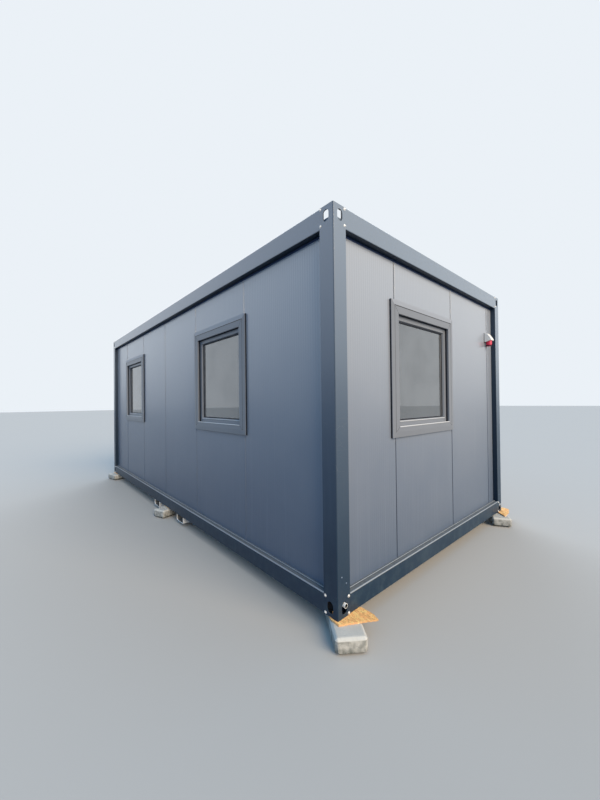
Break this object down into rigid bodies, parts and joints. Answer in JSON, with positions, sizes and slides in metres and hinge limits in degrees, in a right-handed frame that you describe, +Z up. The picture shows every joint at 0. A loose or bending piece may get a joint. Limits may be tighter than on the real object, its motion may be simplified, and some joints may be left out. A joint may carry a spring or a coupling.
{
  "type": "site cabin",
  "caption": "Portable site cabin: folded steel frame on hollow corner boxes, flat wall panels, framed windows, standing on concrete blocks.",
  "frame": {"origin": "centre of the footprint on the ground under the concrete blocks", "axes": "+Z up, +X along the long side towards the windowed end wall, -Y towards the long wall with two windows"},
  "size_m": [6.4308, 3.3008, 2.744],
  "materials": {
    "frame_paint": "satin",
    "panel_paint": "satin",
    "trim_paint": "satin",
    "galvanised": "spangled",
    "rubber": "matt",
    "board": "matt",
    "lining": "matt",
    "glass": "polished",
    "steel_handle": "satin",
    "grey_plastic": "matt",
    "red_plastic": "matt",
    "concrete": "rough",
    "osb": "rough"
  },
  "bodies": {
    "root": {"bottom_side_rails": "frame_paint", "bottom_end_rails": "frame_paint", "bottom_corners": "frame_paint", "corner_posts": "frame_paint", "top_side_rails": "frame_paint", "top_end_rails": "frame_paint", "top_corners": "frame_paint", "floor_joists": "galvanised", "underfloor_sheet": "galvanised", "floor_board": "board", "roof_purlins": "galvanised", "roof_deck": "galvanised", "ceiling_lining": "lining", "base_flashing": "frame_paint", "head_channel": "rubber", "front_panel_1": "panel_paint", "front_panel_2": "panel_paint", "front_panel_3": "panel_paint", "front_panel_4": "panel_paint", "front_panel_5": "panel_paint", "front_panel_6": "panel_paint", "right_panel_1": "panel_paint", "right_panel_2": "panel_paint", "right_panel_3": "panel_paint", "right_panel_4": "panel_paint", "back_panels": "panel_paint", "back_door_panel": "panel_paint", "left_panels": "panel_paint", "front_surround_1": "trim_paint", "front_surround_2": "trim_paint", "right_surround": "trim_paint", "window_seals": "rubber", "front_window_frame_1": "trim_paint", "front_window_frame_2": "trim_paint", "right_window_frame": "trim_paint", "window_glass": "glass", "door_frame": "frame_paint", "door_leaf": "panel_paint", "door_handle": "steel_handle", "inlet_housing": "grey_plastic", "inlet_lid": "red_plastic", "drain_pipes": "grey_plastic", "fork_pockets": "galvanised", "support_blocks": "concrete", "timber_shims": "osb"}
  },
  "joints": []
}
